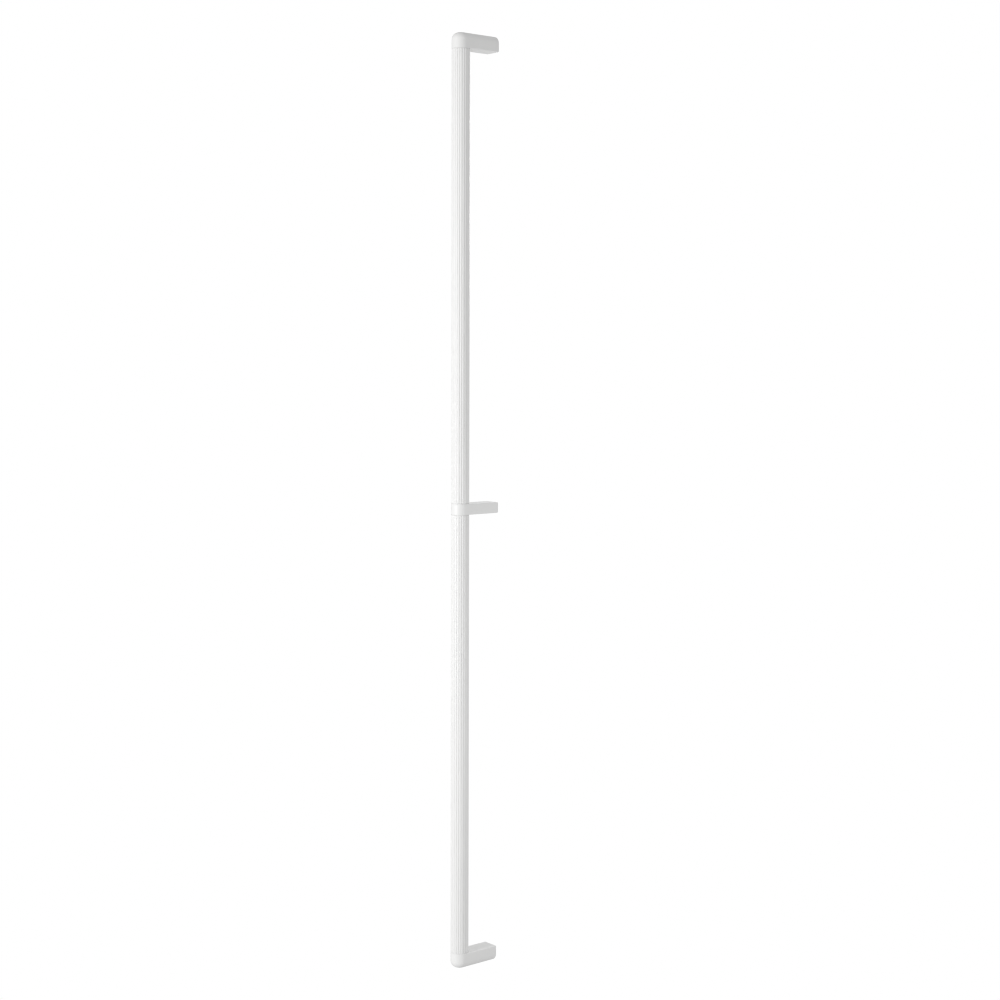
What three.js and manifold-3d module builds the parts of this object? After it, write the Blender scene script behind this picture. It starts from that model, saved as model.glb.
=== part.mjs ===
// A vertical wall-mounted grab rail: a fluted round rail held off the wall by an elbow bracket
// at each end and a collar bracket in the middle. Millimetres, +Z up.
// The wall is the plane y = 0, and the rail stands in front of it, towards -Y.
// The origin is the centre of the middle bracket's back face.
import * as THREE from "three";
import { mergeVertices } from "three/addons/utils/BufferGeometryUtils.js";
import Module from "manifold-3d";

const wasm = await Module();
wasm.setup();

// Driving dimensions
const overallHeight = 1800;
const railDiameter = 35;
const axisToWall = 82;
const armWidthAtWall = 34;
const elbowHeight = 30;
const elbowOuterFillet = 13;
const elbowInnerFillet = 1.2;
const elbowLip = 3; // rounding of the arm's end at the wall
const middleHeight = 21;
const middleFillet = 1.2;
const middleLip = 1.6;
const lipMargin = 0.5; // how far the shape that rounds an arm's end stands off its sides

const gap = 0.3; // between pieces that touch
const housingWall = 2.5;
const endFlangeInset = 4.6; // an elbow housing is thicker behind its rounded end
const endFlangeDepth = 5;

// Fluted grip sleeves
const ribCount = 23;
const ribRadius = 3; // of each rib's round crest
const sleeveBoreRadius = 13.8;

// Core tube inside the sleeves
const tubeRadius = 13.5;
const tubeWall = 2;

// Spigot that joins an elbow core to the tube
const spigotRadius = 11.2;
const spigotBoreRadius = 7;
const spigotLength = 50;

// Wall blocks, over which the arms slide, each with two holes for countersunk wall screws
const blockLength = 24;
const endBlock = { halfWidth: 10.8, low: 5.8, high: 21.3, screwOffset: 5.6 };
const middleBlock = { halfWidth: 11.6, low: -5.1, high: 5.1, screwOffset: 6 };
const wallScrewHoleRadius = 2.4;
const countersinkRadius = 4.6;
const pocketDepth = 40;

// Gaskets and seal rings
const gasketThickness = 1;
const elbowGasketInset = 3.6;
const middleGasketInset = 1.6;
const ringThickness = 1;
const ringRadius = 16.9;

// Set screws
const wallLockRadius = 2;
const wallLockY = -12;
const railLockRadius = 2.5;
const railLockDrop = 18; // from the elbow's inner face along the rail

// Middle bracket's bolt, washer and threaded insert
const boltRadius = 3;
const boltHeadRadius = 5;
const boltHeadHeight = 6;
const boltLength = 35;
const washerThickness = 1.2;
const insertRadius = 4.7;
const insertFlangeRadius = 7;
const insertFlangeThickness = 2;
const insertDepth = 6.2;

// Worked-out places
const railRadius = railDiameter / 2;
const elbowFaceZ = overallHeight / 2 - elbowHeight;
const armEndY = -gasketThickness - gap;
const flangeY = armEndY - endFlangeDepth;
const coreInset = housingWall + gap;
const tubeHalfLength = elbowFaceZ + coreInset - gap;
const cutMargin = 1; // how far a cutter runs past the face that it opens
const roundSegments = 36;
const screwSegments = 20;

const plastic = { color: 0xf4f4f2, roughness: 0.45, metalness: 0 };
const materials = {
  grip: new THREE.MeshStandardMaterial({ ...plastic, roughness: 0.55 }),
  housing: new THREE.MeshStandardMaterial(plastic),
  aluminium: new THREE.MeshStandardMaterial({ color: 0xb9bcc0, roughness: 0.4, metalness: 1 }),
  casting: new THREE.MeshStandardMaterial({ color: 0xa3a5a8, roughness: 0.6, metalness: 1 }),
  steel: new THREE.MeshStandardMaterial({ color: 0xc8c9cb, roughness: 0.3, metalness: 1 }),
  brass: new THREE.MeshStandardMaterial({ color: 0xb8975a, roughness: 0.35, metalness: 1 }),
  seal: new THREE.MeshStandardMaterial({ color: 0xe2e2e0, roughness: 0.8, metalness: 0 }),
};

// Solids: three.js makes each shape, and the manifold library only joins and cuts them.

function solid(geometry) {
  const bare = geometry.index ? geometry.clone() : mergeVertices(geometry);
  bare.deleteAttribute("normal");
  bare.deleteAttribute("uv");
  const merged = mergeVertices(bare, 1e-5);
  return new wasm.Manifold(
    new wasm.Mesh({
      numProp: 3,
      vertProperties: new Float32Array(merged.attributes.position.array),
      triVerts: new Uint32Array(merged.index.array),
    }),
  );
}

function geometryOf(body) {
  const mesh = body.getMesh();
  const geometry = new THREE.BufferGeometry();
  geometry.setAttribute("position", new THREE.BufferAttribute(mesh.vertProperties, 3));
  geometry.setIndex(new THREE.BufferAttribute(mesh.triVerts, 1));
  return geometry;
}

function namedMesh(name, body, material) {
  const mesh = new THREE.Mesh(geometryOf(body), material);
  mesh.name = name;
  return mesh;
}

// A box between two corners.
function box(low, high) {
  const geometry = new THREE.BoxGeometry(high[0] - low[0], high[1] - low[1], high[2] - low[2]);
  geometry.translate((low[0] + high[0]) / 2, (low[1] + high[1]) / 2, (low[2] + high[2]) / 2);
  return solid(geometry);
}

// A cylinder along Y, from y0 to y1, centred on x and z.
function cylinderY(radius, y0, y1, x = 0, z = 0, segments = screwSegments) {
  const geometry = new THREE.CylinderGeometry(radius, radius, y1 - y0, segments);
  geometry.translate(x, (y0 + y1) / 2, z);
  return solid(geometry);
}

// A cylinder along Z, from z0 to z1, centred on x = 0 and y.
function cylinderZ(radius, z0, z1, y, segments = roundSegments) {
  const geometry = new THREE.CylinderGeometry(radius, radius, z1 - z0, segments);
  geometry.rotateX(Math.PI / 2);
  geometry.translate(0, y, (z0 + z1) / 2);
  return solid(geometry);
}

// A bracket's outline from above, moved inwards by inset: round in front, about the rail's axis,
// with tangent sides that draw in slightly towards the wall. It runs past the wall, to be cut there.
function planOutline(inset) {
  const frontRadius = railRadius - inset;
  const wallHalfWidth = armWidthAtWall / 2 - inset;
  const reach = Math.hypot(wallHalfWidth, axisToWall);
  const draft = Math.atan2(axisToWall, wallHalfWidth) - Math.acos(frontRadius / reach);
  const overrun = 2 * elbowOuterFillet;
  const endX = (frontRadius - (axisToWall + overrun) * Math.sin(draft)) / Math.cos(draft);
  const outline = new THREE.Shape();
  outline.moveTo(endX, overrun);
  outline.lineTo(-endX, overrun);
  outline.absarc(0, -axisToWall, frontRadius, Math.PI - draft, 2 * Math.PI + draft, false);
  outline.closePath();
  return outline;
}

// A bracket's outline raised from z0 to z1, with one edge radius below and another above.
// Each edge comes from its own bevelled extrusion, and the two extrusions are intersected.
function roundedBracket(inset, z0, z1, lowFillet, highFillet, y0, y1) {
  const outline = planOutline(inset);
  const depth = z1 - z0;
  const settings = (fillet, steps) => ({
    depth,
    curveSegments: 12,
    bevelEnabled: true,
    bevelThickness: fillet,
    bevelSize: fillet,
    bevelOffset: -fillet,
    bevelSegments: steps,
  });
  const below = new THREE.ExtrudeGeometry(outline, settings(lowFillet, lowFillet > 5 ? 6 : 2));
  below.translate(0, 0, z0 + lowFillet);
  const above = new THREE.ExtrudeGeometry(outline, settings(highFillet, highFillet > 5 ? 6 : 2));
  above.translate(0, 0, z1 - highFillet - depth);
  const slab = box([-railDiameter, y0, z0 - cutMargin], [railDiameter, y1, z1 + cutMargin]);
  return solid(below).intersect(solid(above)).intersect(slab);
}

// A prism along Y, a little larger all round than an arm, its edges rounded at y = armEndY. An arm
// intersected with it gets a rounded end. The section's lower corners are square, and highRadius,
// if there is one, rounds the upper ones.
function lipPrism(low, high, highRadius, lip) {
  const halfWidth = armWidthAtWall / 2 + lipMargin;
  const z0 = low - lipMargin;
  const z1 = high + lipMargin;
  const bevel = lip + lipMargin;
  const section = new THREE.Shape();
  section.moveTo(-halfWidth, z0);
  section.lineTo(halfWidth, z0);
  if (highRadius > 0) {
    const radius = highRadius + lipMargin;
    section.absarc(halfWidth - radius, z1 - radius, radius, 0, Math.PI / 2, false);
    section.absarc(radius - halfWidth, z1 - radius, radius, Math.PI / 2, Math.PI, false);
  } else {
    section.lineTo(halfWidth, z1);
    section.lineTo(-halfWidth, z1);
  }
  section.closePath();
  const geometry = new THREE.ExtrudeGeometry(section, {
    depth: overallHeight / 2,
    curveSegments: 9,
    bevelEnabled: true,
    bevelThickness: bevel,
    bevelSize: bevel,
    bevelOffset: -bevel,
    bevelSegments: 3,
  });
  geometry.rotateX(Math.PI / 2);
  geometry.translate(0, armEndY - bevel, 0);
  return solid(geometry);
}

// An elbow's form in its own frame: z = 0 is its flat inner face, and +Z points to the rail's end.
function elbowForm(inset, y1, y0 = -2 * axisToWall) {
  const low = Math.max(elbowInnerFillet - inset, 0.5);
  return roundedBracket(inset, inset, elbowHeight - inset, low, elbowOuterFillet - inset, y0, y1);
}

function middleForm(inset, y1, y0 = -2 * axisToWall) {
  const fillet = Math.max(middleFillet - inset, 0.5);
  const half = middleHeight / 2 - inset;
  return roundedBracket(inset, -half, half, fillet, fillet, y0, y1);
}

// A set screw along Z, with its hexagon socket at the end that faces outwards.
function setScrew(radius, innerZ, outerZ, y) {
  const low = Math.min(innerZ, outerZ);
  const high = Math.max(innerZ, outerZ);
  const outwards = Math.sign(outerZ - innerZ);
  const socketDepth = radius;
  const socketEnds = [outerZ - outwards * socketDepth, outerZ + outwards * cutMargin];
  const socket = cylinderZ(radius * 0.55, Math.min(...socketEnds), Math.max(...socketEnds), y, 6);
  return cylinderZ(radius, low, high, y, screwSegments).subtract(socket);
}

// The space of a wall block, made larger all round by clearance.
function blockSpace(block, clearance, y0, y1) {
  const low = [-block.halfWidth - clearance, y0, block.low - clearance];
  const high = [block.halfWidth + clearance, y1, block.high + clearance];
  return box(low, high);
}

// A hole for a countersunk wall screw, as one turned shape along Y with the cone facing the room.
function wallScrewCutter(x, z) {
  const coneLength = countersinkRadius - wallScrewHoleRadius;
  const profile = [
    new THREE.Vector2(0, -blockLength - cutMargin),
    new THREE.Vector2(countersinkRadius + cutMargin, -blockLength - cutMargin),
    new THREE.Vector2(wallScrewHoleRadius, -blockLength + coneLength),
    new THREE.Vector2(wallScrewHoleRadius, cutMargin),
    new THREE.Vector2(0, cutMargin),
  ];
  const geometry = new THREE.LatheGeometry(profile, screwSegments);
  geometry.translate(x, 0, z);
  return solid(geometry);
}

function wallBlock(block, lockHole) {
  const screwZ = (block.low + block.high) / 2;
  let body = blockSpace(block, 0, -blockLength, 0);
  for (const side of [-1, 1]) {
    body = body.subtract(wallScrewCutter(side * block.screwOffset, screwZ));
  }
  return body.subtract(lockHole);
}

function wallGasket(form, block) {
  return form.subtract(blockSpace(block, gap, -gasketThickness - cutMargin, cutMargin));
}

// Where an elbow's wall lock screw lies: it goes in from the outer face.
const elbowLock = { inner: 16.5, outer: elbowHeight - 0.8, mouth: elbowHeight + cutMargin };

function lockHoleOf(lock) {
  const depth = lock.inner - Math.sign(lock.outer - lock.inner) * gap;
  const ends = [depth, lock.mouth];
  return cylinderZ(wallLockRadius + gap, Math.min(...ends), Math.max(...ends), wallLockY, screwSegments);
}

function elbowHousing(lockHole) {
  const shell = elbowForm(0, armEndY).intersect(lipPrism(0, elbowHeight, elbowOuterFillet, elbowLip));
  const cavity = elbowForm(housingWall, flangeY).add(elbowForm(endFlangeInset, cutMargin));
  const socket = cylinderZ(sleeveBoreRadius, -cutMargin, housingWall + cutMargin, -axisToWall);
  return shell.subtract(cavity).subtract(socket).subtract(lockHole);
}

function elbowCore(lockHole) {
  const bar = elbowForm(coreInset, flangeY - gap);
  const spigot = cylinderZ(spigotRadius, -spigotLength, coreInset + cutMargin, -axisToWall);
  const spigotBore = cylinderZ(spigotBoreRadius, -spigotLength - cutMargin, 0, -axisToWall);
  const pocket = blockSpace(endBlock, gap, armEndY - pocketDepth, cutMargin);
  const lockEndY = -axisToWall + spigotRadius + cutMargin;
  const railLockHole = cylinderY(railLockRadius + gap, -axisToWall, lockEndY, 0, -railLockDrop);
  return bar.add(spigot).subtract(spigotBore).subtract(pocket).subtract(railLockHole).subtract(lockHole);
}

// The set screw that holds the tube on a spigot, along Y, its hexagon socket towards the wall.
function railLockScrew() {
  const innerY = -axisToWall + spigotBoreRadius + 0.5;
  const outerY = -axisToWall + tubeRadius - 0.1;
  const socket = cylinderY(railLockRadius * 0.55, outerY - railLockRadius, outerY + cutMargin, 0, -railLockDrop, 6);
  return cylinderY(railLockRadius, innerY, outerY, 0, -railLockDrop).subtract(socket);
}

// One elbow bracket as a group at the elbow's inner face. The lower bracket is the same, turned over.
function elbowBracket(place) {
  const lock = elbowLock;
  const lockHole = lockHoleOf(lock);
  const gasketForm = elbowForm(elbowGasketInset, 0, -gasketThickness);
  const group = new THREE.Group();
  const lockScrew = setScrew(wallLockRadius, lock.inner, lock.outer, wallLockY);
  group.add(
    namedMesh(`${place}_elbow_housing`, elbowHousing(lockHole), materials.housing),
    namedMesh(`${place}_elbow_core`, elbowCore(lockHole), materials.casting),
    namedMesh(`${place}_wall_block`, wallBlock(endBlock, lockHole), materials.casting),
    namedMesh(`${place}_wall_gasket`, wallGasket(gasketForm, endBlock), materials.seal),
    namedMesh(`${place}_wall_lock_screw`, lockScrew, materials.steel),
    namedMesh(`${place}_rail_lock_screw`, railLockScrew(), materials.steel),
  );
  return group;
}

// Middle bracket: a smooth collar on the tube, with an arm. Its core is bolted to the tube.

const middleWebY = -axisToWall + sleeveBoreRadius + housingWall; // wall side of the collar
const middleCoreFrontY = middleWebY + gap;
const boltSeatY = armEndY - pocketDepth;
const boltHeadY = boltSeatY + gap + washerThickness + gap;

function boltHole() {
  return cylinderY(boltRadius + gap, -axisToWall, boltSeatY + cutMargin);
}

function middleHousing(lockHole) {
  const arm = middleForm(housingWall, cutMargin, middleWebY);
  const bore = cylinderZ(sleeveBoreRadius, -middleHeight, middleHeight, -axisToWall);
  const lip = lipPrism(-middleHeight / 2, middleHeight / 2, 0, middleLip);
  const shell = middleForm(0, armEndY).intersect(lip);
  return shell.subtract(arm).subtract(bore).subtract(boltHole()).subtract(lockHole);
}

function middleCore(lockHole) {
  const bar = middleForm(coreInset, armEndY, middleCoreFrontY);
  const pocket = blockSpace(middleBlock, gap, boltSeatY, cutMargin);
  return bar.subtract(pocket).subtract(boltHole()).subtract(lockHole);
}

function middleBolt() {
  const head = cylinderY(boltHeadRadius, boltHeadY, boltHeadY + boltHeadHeight);
  const shank = cylinderY(boltRadius, boltHeadY - boltLength, boltHeadY + cutMargin);
  const socketFloorY = boltHeadY + boltHeadHeight / 2;
  const socket = cylinderY(boltRadius, socketFloorY, boltHeadY + boltHeadHeight + cutMargin, 0, 0, 6);
  return head.add(shank).subtract(socket);
}

function middleWasher() {
  const disc = cylinderY(boltHeadRadius - gap, boltSeatY + gap, boltSeatY + gap + washerThickness);
  return disc.subtract(cylinderY(boltRadius + gap, boltSeatY - cutMargin, boltHeadY));
}

// The threaded insert stands in a hole in the tube's back, its flange inside the tube.
function middleInsert() {
  const outerY = -axisToWall + Math.sqrt(tubeRadius ** 2 - insertRadius ** 2);
  const innerY = outerY - insertDepth;
  const flange = cylinderY(insertFlangeRadius, innerY, innerY + insertFlangeThickness);
  const barrel = cylinderY(insertRadius, innerY, outerY);
  return flange.add(barrel).subtract(cylinderY(boltRadius + gap, innerY - cutMargin, outerY + cutMargin));
}

function middleBracket() {
  const lock = { inner: 0, outer: -middleHeight / 2 + 0.8, mouth: -middleHeight / 2 - cutMargin };
  const lockHole = lockHoleOf(lock);
  const gasketForm = middleForm(middleGasketInset, 0, -gasketThickness);
  const group = new THREE.Group();
  const lockScrew = setScrew(wallLockRadius, lock.inner, lock.outer, wallLockY);
  group.add(
    namedMesh("middle_bracket_housing", middleHousing(lockHole), materials.housing),
    namedMesh("middle_bracket_core", middleCore(lockHole), materials.casting),
    namedMesh("middle_wall_block", wallBlock(middleBlock, lockHole), materials.casting),
    namedMesh("middle_wall_gasket", wallGasket(gasketForm, middleBlock), materials.seal),
    namedMesh("middle_wall_lock_screw", lockScrew, materials.steel),
    namedMesh("middle_tube_bolt", middleBolt(), materials.steel),
    namedMesh("middle_bolt_washer", middleWasher(), materials.steel),
    namedMesh("middle_tube_insert", middleInsert(), materials.brass),
  );
  return group;
}

// Rail: the tube, its two fluted sleeves and the seal rings at the sleeves' ends.

function coreTube() {
  const outer = cylinderZ(tubeRadius, -tubeHalfLength, tubeHalfLength, 0);
  const bore = cylinderZ(tubeRadius - tubeWall, -tubeHalfLength - cutMargin, tubeHalfLength + cutMargin, 0);
  let body = outer.subtract(bore).subtract(cylinderY(insertRadius + gap, 0, railRadius));
  for (const side of [-1, 1]) {
    const lockZ = side * (elbowFaceZ - railLockDrop);
    body = body.subtract(cylinderY(railLockRadius + gap, 0, railRadius, 0, lockZ));
  }
  return body;
}

// The sleeve's section: round ribs side by side, with a groove at the middle of the front.
function fluteOutline() {
  const pitch = (2 * Math.PI) / ribCount;
  const centreRadius = railRadius - ribRadius;
  // Half the turn of each rib's arc, from where neighbouring ribs' circles cross
  const crossing = centreRadius * Math.sin(pitch / 2);
  const crossingRadius =
    centreRadius * Math.cos(pitch / 2) + Math.sqrt(ribRadius ** 2 - crossing ** 2);
  const halfTurn = Math.asin((crossingRadius * Math.sin(pitch / 2)) / ribRadius);
  const outline = new THREE.Shape();
  for (let rib = 0; rib < ribCount; rib += 1) {
    const angle = -Math.PI / 2 + (rib + 0.5) * pitch;
    const x = centreRadius * Math.cos(angle);
    const y = centreRadius * Math.sin(angle);
    outline.absarc(x, y, ribRadius, angle - halfTurn, angle + halfTurn, false);
  }
  outline.closePath();
  return outline;
}

// A sleeve from z = 0 upwards, with the mouth of the rail lock screw near one end.
function gripSleeve(length, lockZ) {
  const flutes = new THREE.ExtrudeGeometry(fluteOutline(), {
    depth: length,
    curveSegments: 2,
    bevelEnabled: false,
  });
  const bore = cylinderZ(sleeveBoreRadius, -cutMargin, length + cutMargin, 0);
  const lockMouth = cylinderY(railLockRadius + gap, 0, railDiameter, 0, lockZ);
  return solid(flutes).subtract(bore).subtract(lockMouth);
}

function sealRing() {
  const bore = cylinderZ(sleeveBoreRadius, -cutMargin, ringThickness + cutMargin, 0);
  return cylinderZ(ringRadius, 0, ringThickness, 0).subtract(bore);
}

function gripRail() {
  const ringSpace = ringThickness + 2 * gap;
  const sleeveLow = middleHeight / 2 + ringSpace;
  const sleeveHigh = elbowFaceZ - ringSpace;
  const length = sleeveHigh - sleeveLow;
  const lockZ = elbowFaceZ - railLockDrop;
  const group = new THREE.Group();
  group.position.y = -axisToWall;
  const upperSleeve = namedMesh("upper_grip_sleeve", gripSleeve(length, lockZ - sleeveLow), materials.grip);
  upperSleeve.position.z = sleeveLow;
  const lowerSleeve = namedMesh("lower_grip_sleeve", gripSleeve(length, sleeveHigh - lockZ), materials.grip);
  lowerSleeve.position.z = -sleeveHigh;
  group.add(namedMesh("core_tube", coreTube(), materials.aluminium), upperSleeve, lowerSleeve);
  const rings = {
    upper_elbow_seal_ring: elbowFaceZ - gap - ringThickness,
    upper_collar_seal_ring: middleHeight / 2 + gap,
    lower_collar_seal_ring: -middleHeight / 2 - gap - ringThickness,
    lower_elbow_seal_ring: -elbowFaceZ + gap,
  };
  for (const [name, z] of Object.entries(rings)) {
    const ring = namedMesh(name, sealRing(), materials.seal);
    ring.position.z = z;
    group.add(ring);
  }
  return group;
}

const grabRail = new THREE.Group();

const upperBracket = elbowBracket("upper");
upperBracket.position.z = elbowFaceZ;

const lowerBracket = elbowBracket("lower");
lowerBracket.position.z = -elbowFaceZ;
lowerBracket.rotation.y = Math.PI;

grabRail.add(gripRail(), upperBracket, middleBracket(), lowerBracket);

export default grabRail;
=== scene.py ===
import math

import bmesh
import bpy
import numpy as np
from mathutils import Matrix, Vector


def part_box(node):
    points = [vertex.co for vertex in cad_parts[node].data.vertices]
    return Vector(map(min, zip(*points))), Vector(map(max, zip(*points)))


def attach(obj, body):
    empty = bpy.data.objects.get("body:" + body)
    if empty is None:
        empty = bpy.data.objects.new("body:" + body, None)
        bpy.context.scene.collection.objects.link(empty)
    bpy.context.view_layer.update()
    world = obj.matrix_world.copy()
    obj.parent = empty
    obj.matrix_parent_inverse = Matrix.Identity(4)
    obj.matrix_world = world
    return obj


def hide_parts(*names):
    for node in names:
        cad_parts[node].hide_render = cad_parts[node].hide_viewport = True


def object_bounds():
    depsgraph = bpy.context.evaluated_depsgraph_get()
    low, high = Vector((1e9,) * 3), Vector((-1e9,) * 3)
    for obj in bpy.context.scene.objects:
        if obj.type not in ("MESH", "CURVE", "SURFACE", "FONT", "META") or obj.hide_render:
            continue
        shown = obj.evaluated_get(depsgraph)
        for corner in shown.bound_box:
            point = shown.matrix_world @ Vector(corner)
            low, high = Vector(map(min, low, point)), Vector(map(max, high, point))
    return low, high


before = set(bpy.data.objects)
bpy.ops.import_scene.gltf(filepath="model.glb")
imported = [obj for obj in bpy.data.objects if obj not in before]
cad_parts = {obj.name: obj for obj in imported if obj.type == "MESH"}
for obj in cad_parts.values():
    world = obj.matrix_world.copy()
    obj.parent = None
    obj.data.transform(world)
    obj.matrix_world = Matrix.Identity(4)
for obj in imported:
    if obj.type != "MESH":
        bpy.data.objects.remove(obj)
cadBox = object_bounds()

mm = 0.001
tiny = 1e-9  # keeps divisions and comparisons safe
scene = bpy.context.scene

# camera: stands to the front right, a little above the rail's middle, and looks slightly down
camera = {
    "place": (2.7098, -2.2595, 0.2883),
    "azimuth": 49.956,  # degrees from +Y towards -X
    "down": 4.4545,  # degrees below level
    "roll": 0.187,  # degrees
    "lens": 65.34,
    "sensor": 36.0,
    "sight": 50.0,  # metres, past which nothing shows
    "filterWidth": 1.2,  # a little narrower than usual, so that the flutes stay crisp
}


def poseMatrix(across, up, back, place):
    # The columns are an object's own X, Y and Z axes and its place
    matrix = np.eye(4)
    matrix[:3] = np.column_stack([across, up, back, place])
    return Matrix(matrix.tolist())


def makeCamera():
    turn, dip, roll = (math.radians(camera[k]) for k in ("azimuth", "down", "roll"))
    forward = np.array([-math.sin(turn) * math.cos(dip), math.cos(turn) * math.cos(dip), -math.sin(dip)])
    right = np.array([math.cos(turn), math.sin(turn), 0.0])
    up = np.cross(right, forward)
    rightRolled = math.cos(roll) * right + math.sin(roll) * up
    upRolled = math.cos(roll) * up - math.sin(roll) * right
    data = bpy.data.cameras.new("camera")
    data.lens = camera["lens"]
    data.sensor_width = camera["sensor"]
    data.clip_end = camera["sight"]
    eye = bpy.data.objects.new("camera", data)
    eye.matrix_world = poseMatrix(rightRolled, upRolled, -forward, camera["place"])
    scene.collection.objects.link(eye)
    scene.camera = eye
    scene.cycles.filter_width = camera["filterWidth"]


# places taken from the CAD frame
elbowLow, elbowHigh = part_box("upper_elbow_housing")
middleLow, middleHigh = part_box("middle_bracket_housing")
railRadius = (elbowHigh.x - elbowLow.x) / 2
railY = elbowLow.y + railRadius
armEndY = elbowHigh.y
elbowFaceZ = elbowLow.z
elbowHeight = elbowHigh.z - elbowLow.z
middleHeight = middleHigh.z - middleLow.z
lockLow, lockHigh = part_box("upper_wall_lock_screw")
lockY = (lockLow.y + lockHigh.y) / 2
lockRadius = (lockHigh.y - lockLow.y) / 2
railLockLow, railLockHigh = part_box("upper_rail_lock_screw")
railLockZ = (railLockLow.z + railLockHigh.z) / 2
tubeLow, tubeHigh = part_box("core_tube")
tubeRadius = (tubeHigh.x - tubeLow.x) / 2
fitGap = 0.3 * mm  # between a piece and what it fits round
boreRadius = tubeRadius + fitGap


# mesh helpers
weldDistance = 1e-6  # metres
shortestEdge = 1e-7


def shellFaces(outer, keep, closed):
    # Quads on two skins that share one grid: the outer one as given, the inner one turned round.
    # keep says which of the grid's cells there are, and None stands for all of them.
    # Every edge with one kept cell beside it gets a wall from skin to skin, so that the shell is closed,
    # apart from edges on the plane x = 0, where a left and a right half meet and are welded.
    rows, columns = outer.shape[:2]
    count = rows * columns
    index = np.arange(count).reshape(rows, columns)
    if closed:
        index = np.hstack([index, index[:, :1]])
    cells = np.ones((rows - 1, index.shape[1] - 1), bool) if keep is None else keep
    a, b, c, d = index[:-1, :-1], index[:-1, 1:], index[1:, 1:], index[1:, :-1]
    outside = np.stack([a, b, c, d], -1)[cells]
    inside = outside[:, ::-1] + count

    blank = np.zeros((1, cells.shape[1]), bool)
    after, before = np.vstack([cells, blank]), np.vstack([blank, cells])
    p, q = index[:, :-1], index[:, 1:]
    rowStart = np.stack([q, p, p + count, q + count], -1)[after & ~before]
    rowEnd = np.stack([p, q, q + count, p + count], -1)[before & ~after]

    if closed:
        right, left = cells, np.roll(cells, 1, 1)
        p, q = index[:-1, :-1], index[1:, :-1]
    else:
        blank = np.zeros((cells.shape[0], 1), bool)
        right, left = np.hstack([cells, blank]), np.hstack([blank, cells])
        p, q = index[:-1], index[1:]
    columnStart = np.stack([p, q, q + count, p + count], -1)[right & ~left]
    columnEnd = np.stack([q, p, p + count, q + count], -1)[left & ~right]

    walls = np.vstack([rowStart, rowEnd, columnStart, columnEnd])
    flat = outer.reshape(-1, 3)
    seam = (np.abs(flat[walls[:, 0], 0]) < tiny) & (np.abs(flat[walls[:, 1], 0]) < tiny)
    return np.vstack([outside, inside, walls[~seam]])


def ringFaces(rows, columns, closedRows=False):
    # Quads of a grid whose columns close on themselves, and whose rows may too
    index = np.arange(rows * columns).reshape(rows, columns)
    index = np.hstack([index, index[:, :1]])
    if closedRows:
        index = np.vstack([index, index[:1]])
    return np.stack([index[:-1, :-1], index[:-1, 1:], index[1:, 1:], index[1:, :-1]], -1).reshape(-1, 4)


def addPiece(name, points, faces, look, replaced, crease=35):
    # Turns the faces outwards if the volume they hold comes out negative, and welds seams and poles.
    # Edges that bend more than crease degrees stay sharp.
    flat = points.reshape(-1, 3)
    corner = flat[faces]
    volume = np.einsum("ij,ij->i", corner[:, 0], np.cross(corner[:, 1], corner[:, 2])).sum()
    volume += np.einsum("ij,ij->i", corner[:, 0], np.cross(corner[:, 2], corner[:, 3])).sum()
    if volume < 0:
        faces = faces[:, ::-1]
    mesh = bpy.data.meshes.new(name)
    mesh.from_pydata(flat.tolist(), [], faces.tolist())
    work = bmesh.new()
    work.from_mesh(mesh)
    bmesh.ops.remove_doubles(work, verts=work.verts, dist=weldDistance)
    bmesh.ops.dissolve_degenerate(work, edges=work.edges, dist=shortestEdge)
    work.to_mesh(mesh)
    work.free()
    mesh.polygons.foreach_set("use_smooth", np.ones(len(mesh.polygons), bool))
    mesh.set_sharp_from_angle(angle=math.radians(crease))
    mesh.materials.append(look)
    piece = bpy.data.objects.new(name, mesh)
    scene.collection.objects.link(piece)
    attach(piece, "root")
    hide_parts(*replaced)
    return piece


# node helpers
def makeGroup(name, inputs, outputs):
    group = bpy.data.node_groups.new(name, "ShaderNodeTree")
    for label, kind, value in inputs:
        socket = group.interface.new_socket(name=label, in_out="INPUT", socket_type=kind)
        if value is not None:
            socket.default_value = value
    for label, kind in outputs:
        group.interface.new_socket(name=label, in_out="OUTPUT", socket_type=kind)
    return group, group.nodes.new("NodeGroupInput"), group.nodes.new("NodeGroupOutput")


def addNode(tree, kind, inputs=None, **settings):
    node = tree.nodes.new(kind)
    for key, value in settings.items():
        setattr(node, key, value)
    for key, value in (inputs or {}).items():
        if isinstance(value, bpy.types.NodeSocket):
            tree.links.new(value, node.inputs[key])
        else:
            node.inputs[key].default_value = value
    return node


mouldedGrain = {
    "noises": {"Grain": 2.0, "Ripple": 1.0, "Mottle": 3.0},  # each noise's detail
    "rippleShare": 0.33,  # of the ripple's height that is added to the grain's
    "mottleRange": (0.3, 0.7),  # of the mottle's values, which the roughness runs over
}


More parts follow.
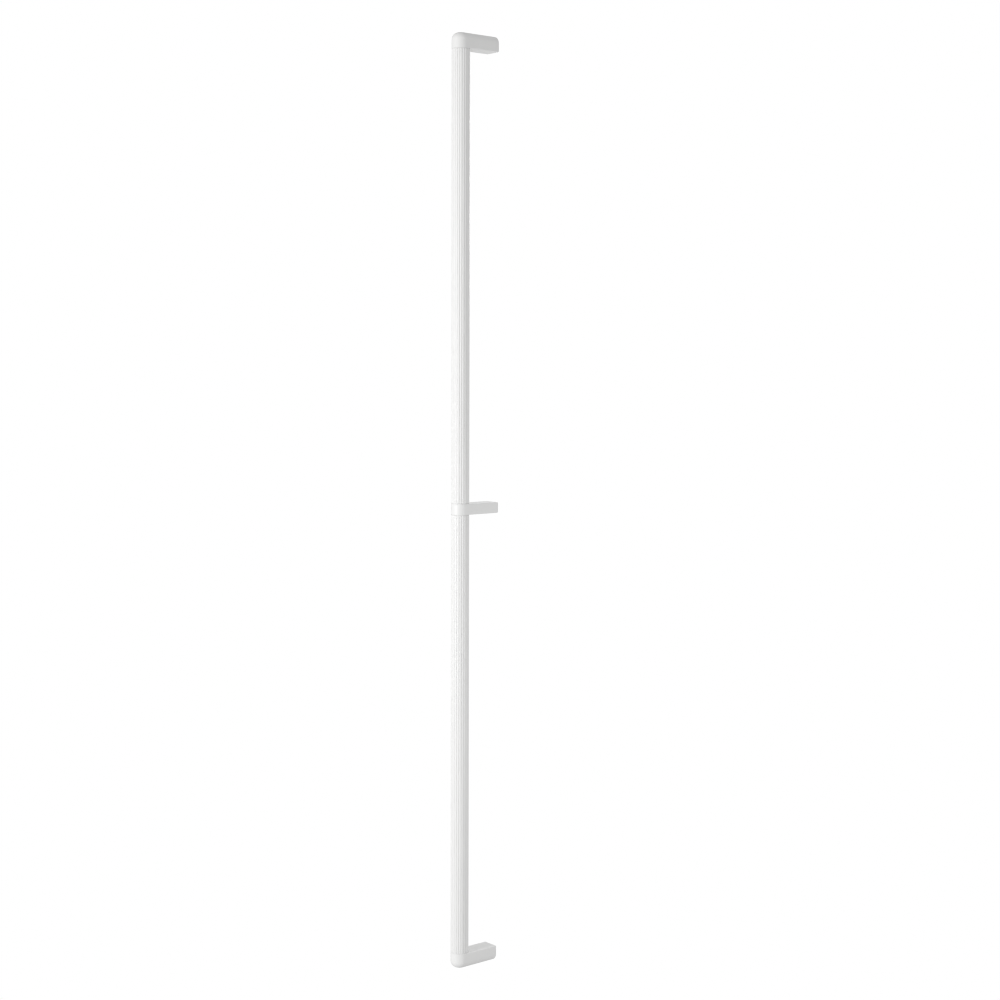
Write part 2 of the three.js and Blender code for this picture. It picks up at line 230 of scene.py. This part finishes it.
def grainGroup():
    # Height: two noises, fine grain plus a third as much coarse ripple. Mottle: a slow noise, 0 to 1.
    group, start, end = makeGroup(
        "mouldedGrain",
        [("Vector", "NodeSocketVector", None), ("Grain", "NodeSocketFloat", 2200.0),
         ("Ripple", "NodeSocketFloat", 160.0), ("Mottle", "NodeSocketFloat", 22.0)],
        [("Height", "NodeSocketFloat"), ("Mottle", "NodeSocketFloat")],
    )
    noise = {}
    for label, detail in mouldedGrain["noises"].items():
        sockets = {"Vector": start.outputs["Vector"], "Scale": start.outputs[label], "Detail": detail}
        noise[label] = addNode(group, "ShaderNodeTexNoise", sockets).outputs[0]
    terms = {0: noise["Ripple"], 1: mouldedGrain["rippleShare"], 2: noise["Grain"]}
    height = addNode(group, "ShaderNodeMath", terms, operation="MULTIPLY_ADD")
    group.links.new(height.outputs[0], end.inputs["Height"])
    group.links.new(noise["Mottle"], end.inputs["Mottle"])


def makeLook(name, finish):
    # Colour and roughness each run between two values with the mottle; bump comes from the grain's height
    look = bpy.data.materials.new(name)
    look.use_nodes = True
    tree = look.node_tree
    shader = tree.nodes["Principled BSDF"]
    place = addNode(tree, "ShaderNodeTexCoord")
    sockets = {"Vector": place.outputs["Object"], "Scale": finish["stretch"]}
    stretch = addNode(tree, "ShaderNodeMapping", sockets)
    grain = addNode(tree, "ShaderNodeGroup", node_tree=bpy.data.node_groups["mouldedGrain"])
    tree.links.new(stretch.outputs[0], grain.inputs["Vector"])
    for key in ("Grain", "Ripple", "Mottle"):
        grain.inputs[key].default_value = finish[key]
    tint = addNode(tree, "ShaderNodeMix", {0: grain.outputs["Mottle"]}, data_type="RGBA")
    tint.inputs[6].default_value = (*finish["dark"], 1)  # sockets 6 and 7 are the two colours
    tint.inputs[7].default_value = (*finish["light"], 1)
    tree.links.new(tint.outputs[2], shader.inputs["Base Color"])
    lowMottle, highMottle = mouldedGrain["mottleRange"]
    low, high = finish["rough"]
    rough = addNode(tree, "ShaderNodeMapRange", {"Value": grain.outputs["Mottle"], "From Min": lowMottle,
                                                 "From Max": highMottle, "To Min": low, "To Max": high})
    tree.links.new(rough.outputs[0], shader.inputs["Roughness"])
    bump = addNode(tree, "ShaderNodeBump", {"Height": grain.outputs["Height"], "Strength": finish["bump"],
                                            "Distance": finish["relief"]})
    tree.links.new(bump.outputs[0], shader.inputs["Normal"])
    shader.inputs["Metallic"].default_value = finish["metal"]
    return look


# stretch multiplies the coordinates, so a small one draws the pattern out along that axis;
# rough is the roughness where the mottle is low and where it is high
finishes = {
    # white extruded plastic, its faint draw lines running lengthwise
    "gripPlastic": {"stretch": (1, 1, 0.02), "Grain": 2600.0, "Ripple": 500.0, "Mottle": 30.0,
                    "dark": (0.82, 0.82, 0.815), "light": (0.86, 0.86, 0.855), "rough": (0.38, 0.48),
                    "bump": 0.12, "relief": 0.05 * mm, "metal": 0.0},
    # white moulded plastic with a fine spark-eroded grain
    "housingPlastic": {"stretch": (1, 1, 1), "Grain": 2400.0, "Ripple": 180.0, "Mottle": 26.0,
                       "dark": (0.81, 0.81, 0.805), "light": (0.85, 0.85, 0.845), "rough": (0.4, 0.5),
                       "bump": 0.2, "relief": 0.05 * mm, "metal": 0.0},
    "sealRubber": {"stretch": (1, 1, 1), "Grain": 1500.0, "Ripple": 300.0, "Mottle": 60.0,
                   "dark": (0.77, 0.77, 0.765), "light": (0.82, 0.82, 0.815), "rough": (0.6, 0.75),
                   "bump": 0.3, "relief": 0.05 * mm, "metal": 0.0},
    "castAluminium": {"stretch": (1, 1, 1), "Grain": 900.0, "Ripple": 240.0, "Mottle": 90.0,
                      "dark": (0.42, 0.42, 0.43), "light": (0.6, 0.61, 0.62), "rough": (0.45, 0.65),
                      "bump": 0.5, "relief": 0.1 * mm, "metal": 1.0},
    "tubeAluminium": {"stretch": (1, 1, 0.01), "Grain": 2600.0, "Ripple": 700.0, "Mottle": 80.0,
                      "dark": (0.6, 0.61, 0.63), "light": (0.74, 0.75, 0.77), "rough": (0.25, 0.4),
                      "bump": 0.2, "relief": 0.04 * mm, "metal": 1.0},
    "screwSteel": {"stretch": (1, 1, 1), "Grain": 3200.0, "Ripple": 600.0, "Mottle": 300.0,
                   "dark": (0.46, 0.46, 0.47), "light": (0.66, 0.66, 0.67), "rough": (0.22, 0.38),
                   "bump": 0.2, "relief": 0.03 * mm, "metal": 1.0},
    "insertBrass": {"stretch": (1, 1, 1), "Grain": 3000.0, "Ripple": 500.0, "Mottle": 200.0,
                    "dark": (0.5, 0.38, 0.18), "light": (0.72, 0.57, 0.3), "rough": (0.25, 0.4),
                    "bump": 0.2, "relief": 0.03 * mm, "metal": 1.0},
}


# fluted grip sleeves: a radius that depends on the angle, carried straight up the rail
sleeve = {
    "ribs": 23,
    "grooveDepth": 0.85 * mm,
    "ribShare": 0.86,  # of the pitch that a rib takes, the rest being the groove's floor
    "ribPower": 2.6,  # 2 is an ellipse, and more is squarer
    "stepsPerRib": 20,
    "endRound": 0.25 * mm,
    "endRows": 5,  # across that rounding
    "bodyRows": 30,  # along the rest of the sleeve
    "holeSteps": 12,  # grid steps from the lock screw hole's centre to its edge
    "drawReach": 2,  # hole radii, out to which the grid is drawn in to circles
    "rowClearance": 1.3,  # times that reach, within which the body's own rows are left out
    "crease": 50,
}


def fluteRadius(angle):
    # A rib is a superellipse across the pitch: crest height x (1 - share ** power) ** (1 / power),
    # where share is the way from the crest to the groove. It stands on the groove's floor.
    pitch = 2 * math.pi / sleeve["ribs"]
    fromGroove = (angle + math.pi / 2) / pitch  # in pitches, from the groove at the middle of the front
    share = np.abs((fromGroove - np.floor(fromGroove) - 0.5) * 2) / sleeve["ribShare"]
    power = sleeve["ribPower"]
    rib = np.clip(1 - np.clip(share, 0, 1) ** power, 0, 1) ** (1 / power)
    return railRadius - sleeve["grooveDepth"] * (1 - rib)


def makeSleeve(name, look, lockZ):
    # Rows run up the rail, closer together at the ends and round the lock screw's hole. There the
    # grid's square rings are drawn in to circles, on both skins, and the cells inside are left out.
    low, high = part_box(name)
    columns = sleeve["ribs"] * sleeve["stepsPerRib"]
    angle = np.linspace(-math.pi / 2, 1.5 * math.pi, columns, endpoint=False)
    step = 2 * math.pi / columns
    holeHalf = sleeve["holeSteps"] * step * railRadius
    calm = sleeve["drawReach"] * holeHalf
    stepsOut = sleeve["drawReach"] * sleeve["holeSteps"]
    around = np.arange(-stepsOut, stepsOut + 1) * step * railRadius + lockZ
    ends = sleeve["endRound"] * (1 - np.cos(np.linspace(0, math.pi / 2, sleeve["endRows"])))
    body = np.linspace(low.z + sleeve["endRound"], high.z - sleeve["endRound"], sleeve["bodyRows"])[1:-1]
    body = body[np.abs(body - lockZ) > calm * sleeve["rowClearance"]]
    z = np.sort(np.concatenate([low.z + ends, high.z - ends, body, around]))
    turn, height = np.meshgrid(angle, z)

    across = (turn - math.pi / 2) * railRadius
    up = height - lockZ
    square = np.maximum(np.abs(across), np.abs(up))
    circle = np.maximum(np.hypot(across, up), tiny)
    pull = np.clip((calm - square) / (calm - holeHalf), 0, 1)
    draw = 1 + pull * (square / circle - 1)
    turn = math.pi / 2 + across * draw / railRadius
    height = lockZ + up * draw

    fromEnd = np.minimum(height - low.z, high.z - height)
    short = np.clip(sleeve["endRound"] - fromEnd, 0, None)
    drop = sleeve["endRound"] - np.sqrt(sleeve["endRound"] ** 2 - short ** 2)
    reach = fluteRadius(turn) - drop
    outer = np.stack([reach * np.cos(turn), railY + reach * np.sin(turn), height], -1)
    inner = np.stack([boreRadius * np.cos(turn), railY + boreRadius * np.sin(turn), height], -1)
    cellSquare = np.maximum(
        np.abs((angle + step / 2 - math.pi / 2) * railRadius)[None, :],
        np.abs((z[:-1] + z[1:]) / 2 - lockZ)[:, None],
    )
    faces = shellFaces(outer, cellSquare > holeHalf, closed=True)
    points = np.concatenate([outer.reshape(-1, 3), inner.reshape(-1, 3)])
    pieceName = name.replace("grip", "fluted")
    return addPiece(pieceName, points, faces, look, [name], sleeve["crease"])


# brackets: a plan that is round in front, with straight sides to the wall, raised to a height
bracket = {
    "wallHalfWidth": 17 * mm,
    "wall": 2.5 * mm,  # thickness of the shell
    "wallAtLip": 0.6 * mm,  # and what is left of it at the rounded wall end
    "elbowLip": 3.0 * mm,  # rounding of the wall end
    "collarLip": 1.6 * mm,
    "elbowOuterFillet": 13 * mm,
    "elbowInnerFillet": 2 * mm,
    "collarFillet": 1.4 * mm,
    "railFillet": 0.45 * mm,  # of an edge that meets the rail
    "fadeLength": 16 * mm,  # over which that edge grows to the arm's fillet
    "smallestFillet": 0.4 * mm,
    # grid points along each stretch of the plan, from the wall to the front
    "lipPoints": 9,
    "behindHolePoints": 5,
    "holePoints": 17,
    "sidePoints": 14,
    "socketPoints": 12,
    "frontPoints": 28,
    # and of the profile
    "filletPoints": 14,
    "capPoints": 9,
    "sideRows": 6,
}


def bracketPlan(lip):
    # The right half of the outline from the wall to the middle of the front, then its mirror image.
    # Each column has its outline point, the normal there, the lip's inset and how far it is an arm.
    # The straight side is tangent to the rail's circle, and draft is its angle to the middle line.
    reach = -railY
    draft = math.atan2(reach, bracket["wallHalfWidth"]) - math.acos(
        railRadius / math.hypot(bracket["wallHalfWidth"], reach))
    bend = np.linspace(math.pi / 2, 0, bracket["lipPoints"])
    lipY = armEndY - lip + lip * np.sin(bend)
    lipInset = lip * (1 - np.cos(bend))
    hole = lockRadius + fitGap
    tangentY = railY + railRadius * math.sin(draft)
    sideY = np.concatenate([
        np.linspace(lipY[-1], lockY + hole, bracket["behindHolePoints"])[1:-1],
        lockY + hole * np.sin(np.linspace(math.pi / 2, -math.pi / 2, bracket["holePoints"])),
        np.linspace(lockY - hole, railY + boreRadius, bracket["sidePoints"])[1:-1],
        railY + boreRadius * np.sin(np.linspace(math.pi / 2, 0, bracket["socketPoints"])[:-1]),
        [tangentY],
    ])
    y = np.concatenate([lipY, sideY])
    x = (railRadius - (y - railY) * math.sin(draft)) / math.cos(draft)
    frontAngle = np.linspace(draft, -math.pi / 2, bracket["frontPoints"])[1:]
    x = np.concatenate([x, railRadius * np.cos(frontAngle)])
    x[-1] = 0
    plan = {
        "x": x,
        "y": np.concatenate([y, railY + railRadius * np.sin(frontAngle)]),
        "nx": np.concatenate([np.full(len(y), math.cos(draft)), np.cos(frontAngle)]),
        "ny": np.concatenate([np.full(len(y), math.sin(draft)), np.sin(frontAngle)]),
        "inset": np.concatenate([lipInset, np.zeros(len(sideY) + len(frontAngle))]),
    }
    plan["nx"][-1] = 0
    sign = {"x": -1, "nx": -1}
    plan = {key: np.concatenate([row, sign.get(key, 1) * row[-2::-1]]) for key, row in plan.items()}
    plan["front"] = plan["y"] <= tangentY - tiny
    share = np.clip((plan["y"] - railY - boreRadius / 2) / bracket["fadeLength"], 0, 1)
    plan["arm"] = share * share * (3 - 2 * share)
    return plan


def middleLine(plan, socket, lock):
    # Where a flat face ends: on the middle line, or at the edge of the round holes that lie on it
    side = np.sign(plan["x"])
    fromRail = plan["y"] - railY
    x = np.zeros(len(side))
    if lock:
        x = np.sqrt(np.clip((lockRadius + fitGap) ** 2 - (plan["y"] - lockY) ** 2, 0, None))
    y = np.maximum(plan["y"], railY)
    if socket:
        x = np.maximum(x, np.sqrt(np.clip(boreRadius ** 2 - fromRail ** 2, 0, None)))
        x = np.where(plan["front"], boreRadius * np.abs(plan["nx"]), x)
        y = np.where(plan["front"], railY + boreRadius * plan["ny"], plan["y"])
    x[x < shortestEdge] = 0
    return side * x, y


def bracketSkin(plan, inset, height, topFillet, lowFillet, topEnds, lowEnds):
    # One closed profile for every column: flat top, top fillet, side, lower fillet, flat underside.
    # In a fillet the outline moves in by r(1 - sin) while the height changes by r(1 - cos).
    # inset is 0 on the outer skin and the shell's thickness on the inner one.
    inset = np.maximum(inset, plan["inset"] + bracket["wallAtLip"]) if inset else plan["inset"]
    small, nearRail = bracket["smallestFillet"], bracket["railFillet"]
    lowFillet = nearRail + (lowFillet - nearRail) * plan["arm"]
    if topFillet < bracket["elbowOuterFillet"]:  # an elbow's outer edge doesn't meet the rail
        topFillet = nearRail + (topFillet - nearRail) * plan["arm"]
    top = np.maximum(topFillet - inset, small)
    low = np.maximum(lowFillet - inset, small)
    bend = np.linspace(0, math.pi / 2, bracket["filletPoints"])[:, None]
    flat = np.linspace(0, 1, bracket["capPoints"])[:, None]
    highZ, lowZ = height - inset, inset

    def outline(back):
        return plan["x"] - plan["nx"] * back, plan["y"] - plan["ny"] * back

    def cap(ends, fillet, z):
        edgeX, edgeY = outline(inset + fillet)
        return ends[0] + (edgeX - ends[0]) * flat, ends[1] + (edgeY - ends[1]) * flat, z + 0 * flat

    topCap = cap(topEnds, top, highZ)
    lowCap = [part[::-1] for part in cap(lowEnds, low, lowZ)]
    topBend = (*outline(inset + top * (1 - np.sin(bend))), highZ - top * (1 - np.cos(bend)))
    back = bend[::-1]
    lowBend = (*outline(inset + low * (1 - np.sin(back))), lowZ + low * (1 - np.cos(back)))
    share = np.linspace(0, 1, bracket["sideRows"])[1:-1, None]
    sideZ = (highZ - top) * (1 - share) + (lowZ + low) * share
    side = (*outline(inset + 0 * share), sideZ)
    parts = [topCap, [row[1:] for row in topBend], side, lowBend, [row[1:] for row in lowCap]]
    x, y, z = (np.vstack([part[k] for part in parts]) for k in range(3))
    return np.stack([x, y, z], -1)


def makeBracket(name, look, height, lip, topFillet, lowFillet, topHoles, lowHoles, place):
    # The holes in a face are two switches: the rail's socket, and the wall lock screw's hole
    plan = bracketPlan(lip)
    topEnds, lowEnds = middleLine(plan, *topHoles), middleLine(plan, *lowHoles)
    outer = bracketSkin(plan, 0, height, topFillet, lowFillet, topEnds, lowEnds)
    inner = bracketSkin(plan, bracket["wall"], height, topFillet, lowFillet, topEnds, lowEnds)
    faces = shellFaces(outer, None, closed=False)
    points = place(np.concatenate([outer.reshape(-1, 3), inner.reshape(-1, 3)]))
    return addPiece(name.replace("housing", "moulding"), points, faces, look, [name])


def ontoTop(points):
    return points + np.array([0, 0, elbowFaceZ])


def ontoBottom(points):
    # Half a turn about the middle height's Y axis
    return points * np.array([-1, 1, -1]) - np.array([0, 0, elbowFaceZ])


def ontoMiddle(points):
    return points + np.array([0, 0, middleLow.z])


def makeBrackets(look):
    lockOnly = (False, True)
    socketOnly = (True, False)
    socketAndLock = (True, True)
    elbow = (elbowHeight, bracket["elbowLip"], bracket["elbowOuterFillet"], bracket["elbowInnerFillet"])
    makeBracket("upper_elbow_housing", look, *elbow, lockOnly, socketOnly, ontoTop)
    makeBracket("lower_elbow_housing", look, *elbow, lockOnly, socketOnly, ontoBottom)
    collar = (middleHeight, bracket["collarLip"], bracket["collarFillet"], bracket["collarFillet"])
    makeBracket("middle_bracket_housing", look, *collar, socketOnly, socketAndLock, ontoMiddle)


def squared(wave, squareness):
    # One coordinate of a superellipse: a sine or cosine raised to 2 over the squareness, sign kept
    return np.sign(wave) * np.abs(wave) ** (2 / squareness)


# seal rings: a rounded square, a superellipse, carried round the rail
sealRing = {
    "swell": 0.28 * mm,  # past the CAD ring, above and below
    "proud": 0.35 * mm,  # and outwards
    "squareness": 6.0,
    "around": 160,
    "profile": 36,
}


def makeSealRing(name, look):
    # Radius and height are the profile's middle plus half its width or height times a superellipse
    low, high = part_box(name)
    outerRadius = (high.x - low.x) / 2 + sealRing["proud"]
    middle = (outerRadius + boreRadius) / 2
    halfWide = (outerRadius - boreRadius) / 2
    halfHigh = (high.z - low.z) / 2 + sealRing["swell"]
    turn = np.linspace(0, 2 * math.pi, sealRing["profile"], endpoint=False)[:, None]
    angle = np.linspace(0, 2 * math.pi, sealRing["around"], endpoint=False)[None, :]
    reach = middle + halfWide * squared(np.cos(turn), sealRing["squareness"])
    rise = halfHigh * squared(np.sin(turn), sealRing["squareness"])
    z = (low.z + high.z) / 2 + rise + 0 * angle
    points = np.stack([reach * np.cos(angle), railY + reach * np.sin(angle), z], -1)
    faces = ringFaces(sealRing["profile"], sealRing["around"], closedRows=True)
    return addPiece(name.replace("seal_ring", "joint_seal"), points, faces, look, [name])


# wall gaskets: a rounded square carried round between the arm's outline and the wall block
gasket = {
    "around": 256,
    "profile": 20,
    "squareness": 5.0,
    "smallRadius": 0.6 * mm,  # of the corners that don't follow an elbow's outer fillet
}


def roundedReach(angle, halfWidth, low, high, lowRadius, highRadius):
    # Distance from the middle to a rectangle with rounded corners, along each angle: to the sides,
    # or in a corner to the far side of its circle, which is b + sqrt(b * b - c * c + r * r).
    ux, uz = np.cos(angle), np.sin(angle)
    upper = uz > 0
    radius = np.where(upper, highRadius, lowRadius)
    limit = np.where(upper, high, -low)
    straight = np.minimum(halfWidth / np.maximum(np.abs(ux), tiny), limit / np.maximum(np.abs(uz), tiny))
    cx, cz = halfWidth - radius, limit - radius
    along = np.abs(ux) * cx + np.abs(uz) * cz
    corner = along + np.sqrt(np.clip(along ** 2 - cx ** 2 - cz ** 2 + radius ** 2, 0, None))
    inCorner = (straight * np.abs(ux) > cx) & (straight * np.abs(uz) > cz)
    return np.where(inCorner, corner, straight)


def makeGasket(place, look, lowRadius, highRadius):
    name = place + "_wall_gasket"
    low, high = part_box(name)
    blockLow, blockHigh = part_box(place + "_wall_block")
    middleZ = (blockLow.z + blockHigh.z) / 2
    angle = np.linspace(0, 2 * math.pi, gasket["around"], endpoint=False)[None, :]
    turn = np.linspace(0, 2 * math.pi, gasket["profile"], endpoint=False)[:, None]
    small = gasket["smallRadius"]
    outer = roundedReach(angle, high.x, low.z - middleZ, high.z - middleZ, lowRadius, highRadius)
    inner = roundedReach(angle, blockHigh.x + fitGap, blockLow.z - fitGap - middleZ,
                         blockHigh.z + fitGap - middleZ, small, small)
    share = (1 + squared(np.cos(turn), gasket["squareness"])) / 2
    reach = inner + (outer - inner) * share
    y = (low.y + high.y) / 2 + (high.y - low.y) / 2 * squared(np.sin(turn), gasket["squareness"])
    points = np.stack([reach * np.cos(angle), y + 0 * angle, middleZ + reach * np.sin(angle)], -1)
    faces = ringFaces(gasket["profile"], gasket["around"], closedRows=True)
    return addPiece(place + "_wall_pad", points, faces, look, [name])


# set screws: circles and hexagons about one axis, from the point to the bottom of the socket
setScrew = {
    "around": 48,
    "chamfer": 0.35 * mm,  # at the socket's end
    "pointChamfers": 2,  # chamfers in the point's cone
    "mouthShare": 0.4,  # of the chamfer, round the socket's mouth
    "socketShare": 0.55,  # of the screw's width, across the socket's corners
    "socketDepth": 1.0,  # screw radii
    "drillTip": 0.2,  # screw radii, the cone at the socket's bottom
    "crease": 28,
}


def makeSetScrew(name, look, axis, mouth):
    # Radius is a circle's outside and a hexagon's in the socket: flat distance over the cosine of
    # the angle from the nearest flat. mouth is +1 or -1, the way the socket faces along the axis.
    low, high = (np.array(corner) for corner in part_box(name))
    middle = (low + high) / 2
    length = high[axis] - low[axis]
    others = [k for k in range(3) if k != axis]
    radius = (high[others[0]] - low[others[0]]) / 2
    angle = np.linspace(0, 2 * math.pi, setScrew["around"], endpoint=False)
    fromFlat = (angle + math.pi / 6) % (math.pi / 3) - math.pi / 6
    hexagon = radius * setScrew["socketShare"] * math.cos(math.pi / 6) / np.cos(fromFlat)
    circle = np.full(len(angle), radius)
    chamfer = setScrew["chamfer"]
    point = setScrew["pointChamfers"] * chamfer
    mouthBevel = setScrew["mouthShare"] * chamfer
    bottom = length - setScrew["socketDepth"] * radius
    rows = [
        (circle * 0, 0),
        (circle - point, 0),
        (circle, point),
        (circle, length - chamfer),
        (circle - chamfer, length),
        (hexagon + mouthBevel, length),
        (hexagon, length - mouthBevel),
        (hexagon, bottom),
        (hexagon * 0, bottom - setScrew["drillTip"] * radius),
    ]
    reach = np.stack([row[0] for row in rows])
    along = np.array([row[1] for row in rows])[:, None] + 0 * reach - length / 2
    points = np.zeros((*reach.shape, 3))
    points[..., axis] = middle[axis] + mouth * along
    points[..., others[0]] = middle[others[0]] + reach * np.cos(angle)
    points[..., others[1]] = middle[others[1]] + reach * np.sin(angle)
    faces = ringFaces(len(rows), len(angle))
    pieceName = name.replace("_screw", "_grub_screw")
    return addPiece(pieceName, points, faces, look, [name], setScrew["crease"])


# stage: pale floor, pale surroundings, a wide lamp in front and two small ones behind the wall's plane
stage = {
    "floorDrop": 0.35,  # below the rail's lower end
    "floorSize": 60.0,
    "surround": 0.6,  # as light on the object
    "seen": 1.0,  # seen directly, surroundings and floor are white
    "white": (1, 1, 1, 1),
}
# azimuth is in degrees from +X towards +Y, distance is from the rail's axis, height is from its
# middle, and power is in watts
lamps = {
    "softFront": {"azimuth": -90, "distance": 2.8, "height": 0.0, "size": 1.4, "power": 45.0},
    "lowBack": {"azimuth": 35, "distance": 1.2, "height": -0.45, "size": 0.6, "power": 2.3},
    "highBack": {"azimuth": 120, "distance": 1.2, "height": 0.7, "size": 0.6, "power": 6.0},
}


def makeStage():
    floorZ = cadBox[0][2] - stage["floorDrop"]
    bpy.ops.mesh.primitive_plane_add(size=stage["floorSize"], location=(0, 0, floorZ))
    floor = bpy.context.object
    floor.name = "floor"
    pale = bpy.data.materials.new("paleFloor")
    pale.use_nodes = True
    tree = pale.node_tree
    tree.nodes.remove(tree.nodes["Principled BSDF"])
    path = addNode(tree, "ShaderNodeLightPath")
    glow = addNode(tree, "ShaderNodeEmission", {"Color": stage["white"], "Strength": stage["surround"]})
    seen = addNode(tree, "ShaderNodeEmission", {"Color": stage["white"], "Strength": stage["seen"]})
    mix = addNode(tree, "ShaderNodeMixShader", {0: path.outputs["Is Camera Ray"], 1: glow.outputs[0],
                                                2: seen.outputs[0]})
    tree.links.new(mix.outputs[0], tree.nodes["Material Output"].inputs["Surface"])
    floor.data.materials.append(pale)


def makeSurroundings():
    world = bpy.data.worlds.new("softStudio")
    scene.world = world
    world.use_nodes = True
    tree = world.node_tree
    light = tree.nodes["Background"]
    light.inputs["Color"].default_value = stage["white"]
    light.inputs["Strength"].default_value = stage["surround"]
    seen = addNode(tree, "ShaderNodeBackground", {"Color": stage["white"], "Strength": stage["seen"]})
    path = addNode(tree, "ShaderNodeLightPath")
    mix = addNode(tree, "ShaderNodeMixShader", {0: path.outputs["Is Camera Ray"], 1: light.outputs[0],
                                                2: seen.outputs[0]})
    tree.links.new(mix.outputs[0], tree.nodes["World Output"].inputs["Surface"])


def makeLamp(name, lamp):
    # A disc that faces a point on the rail's axis, at half the lamp's height
    data = bpy.data.lights.new(name, "AREA")
    data.shape = "DISK"
    data.size = lamp["size"]
    data.energy = lamp["power"]
    turn = math.radians(lamp["azimuth"])
    side = np.array([math.cos(turn), math.sin(turn), 0]) * lamp["distance"]
    place = side + np.array([0, railY, lamp["height"]])
    aim = np.array([0, railY, lamp["height"] / 2]) - place
    aim /= np.linalg.norm(aim)
    across = np.cross(aim, [0, 0, 1])
    across /= np.linalg.norm(across)
    lampObject = bpy.data.objects.new(name, data)
    lampObject.matrix_world = poseMatrix(across, np.cross(across, aim), -aim, place)
    scene.collection.objects.link(lampObject)


# build
makeCamera()
scene.view_settings.view_transform = "Standard"
grainGroup()
looks = {name: makeLook(name, finish) for name, finish in finishes.items()}
print("materials ready:", len(looks))

makeSleeve("upper_grip_sleeve", looks["gripPlastic"], railLockZ)
makeSleeve("lower_grip_sleeve", looks["gripPlastic"], -railLockZ)
print("fluted sleeves ready")

makeBrackets(looks["housingPlastic"])
print("brackets ready")

for place in ("upper_elbow", "upper_collar", "lower_collar", "lower_elbow"):
    makeSealRing(place + "_seal_ring", looks["sealRubber"])
padInset = elbowHigh.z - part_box("upper_wall_gasket")[1].z
padRadius = bracket["elbowOuterFillet"] - padInset
smallRadius = gasket["smallRadius"]
makeGasket("upper", looks["sealRubber"], smallRadius, padRadius)
makeGasket("middle", looks["sealRubber"], smallRadius, smallRadius)
makeGasket("lower", looks["sealRubber"], padRadius, smallRadius)
upAxis, wallAxis = 2, 1
for place, mouth in (("upper", 1), ("middle", -1), ("lower", -1)):
    makeSetScrew(place + "_wall_lock_screw", looks["screwSteel"], upAxis, mouth)
for place in ("upper", "lower"):
    makeSetScrew(place + "_rail_lock_screw", looks["screwSteel"], wallAxis, 1)
print("seals and screws ready")

keptNodes = {
    "core_tube": "tubeAluminium",
    "upper_elbow_core": "castAluminium",
    "middle_bracket_core": "castAluminium",
    "lower_elbow_core": "castAluminium",
    "upper_wall_block": "castAluminium",
    "middle_wall_block": "castAluminium",
    "lower_wall_block": "castAluminium",
    "middle_tube_bolt": "screwSteel",
    "middle_bolt_washer": "screwSteel",
    "middle_tube_insert": "insertBrass",
}
for name, lookName in keptNodes.items():
    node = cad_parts[name]
    node.data.materials.clear()
    node.data.materials.append(looks[lookName])
print("carried-over pieces have their materials:", len(keptNodes))

makeStage()
makeSurroundings()
for name, lamp in lamps.items():
    makeLamp(name, lamp)
print("stage and light ready")
